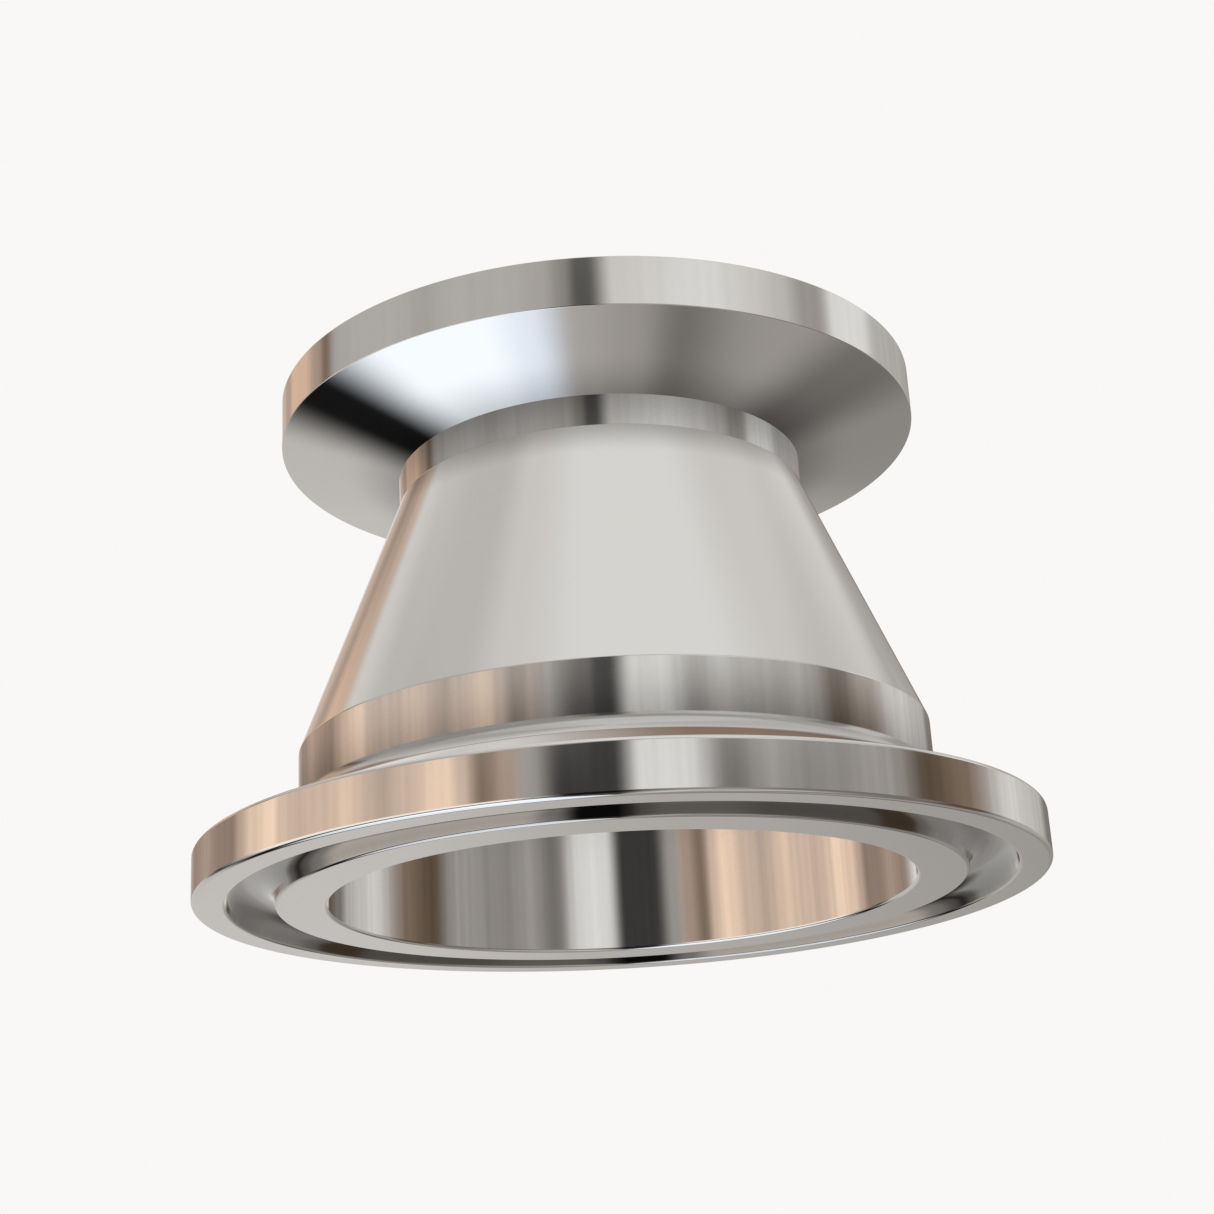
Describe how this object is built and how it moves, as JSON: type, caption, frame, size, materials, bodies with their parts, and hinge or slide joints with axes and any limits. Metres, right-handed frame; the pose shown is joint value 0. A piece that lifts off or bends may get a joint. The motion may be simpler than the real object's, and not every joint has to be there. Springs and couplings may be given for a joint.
{
  "type": "conical pipe reducer",
  "caption": "Short conical stainless reducer with a hygienic clamp ferrule at the large end and a small vacuum clamp flange at the other.",
  "frame": {"origin": "centre of the large end's sealing face, which is the bottom of the part", "axes": "+Z along the bore axis from the large end to the small end; X and Y are free, because the part is round"},
  "size_m": [0.0504, 0.0504, 0.032],
  "materials": {
    "polished_steel": "polished",
    "weld_metal": "satin"
  },
  "bodies": {
    "root": {"clamp_ferrule": "polished_steel", "butt_weld": "weld_metal", "cone_body": "polished_steel", "seal_weld": "weld_metal", "vacuum_flange": "polished_steel"}
  },
  "joints": []
}
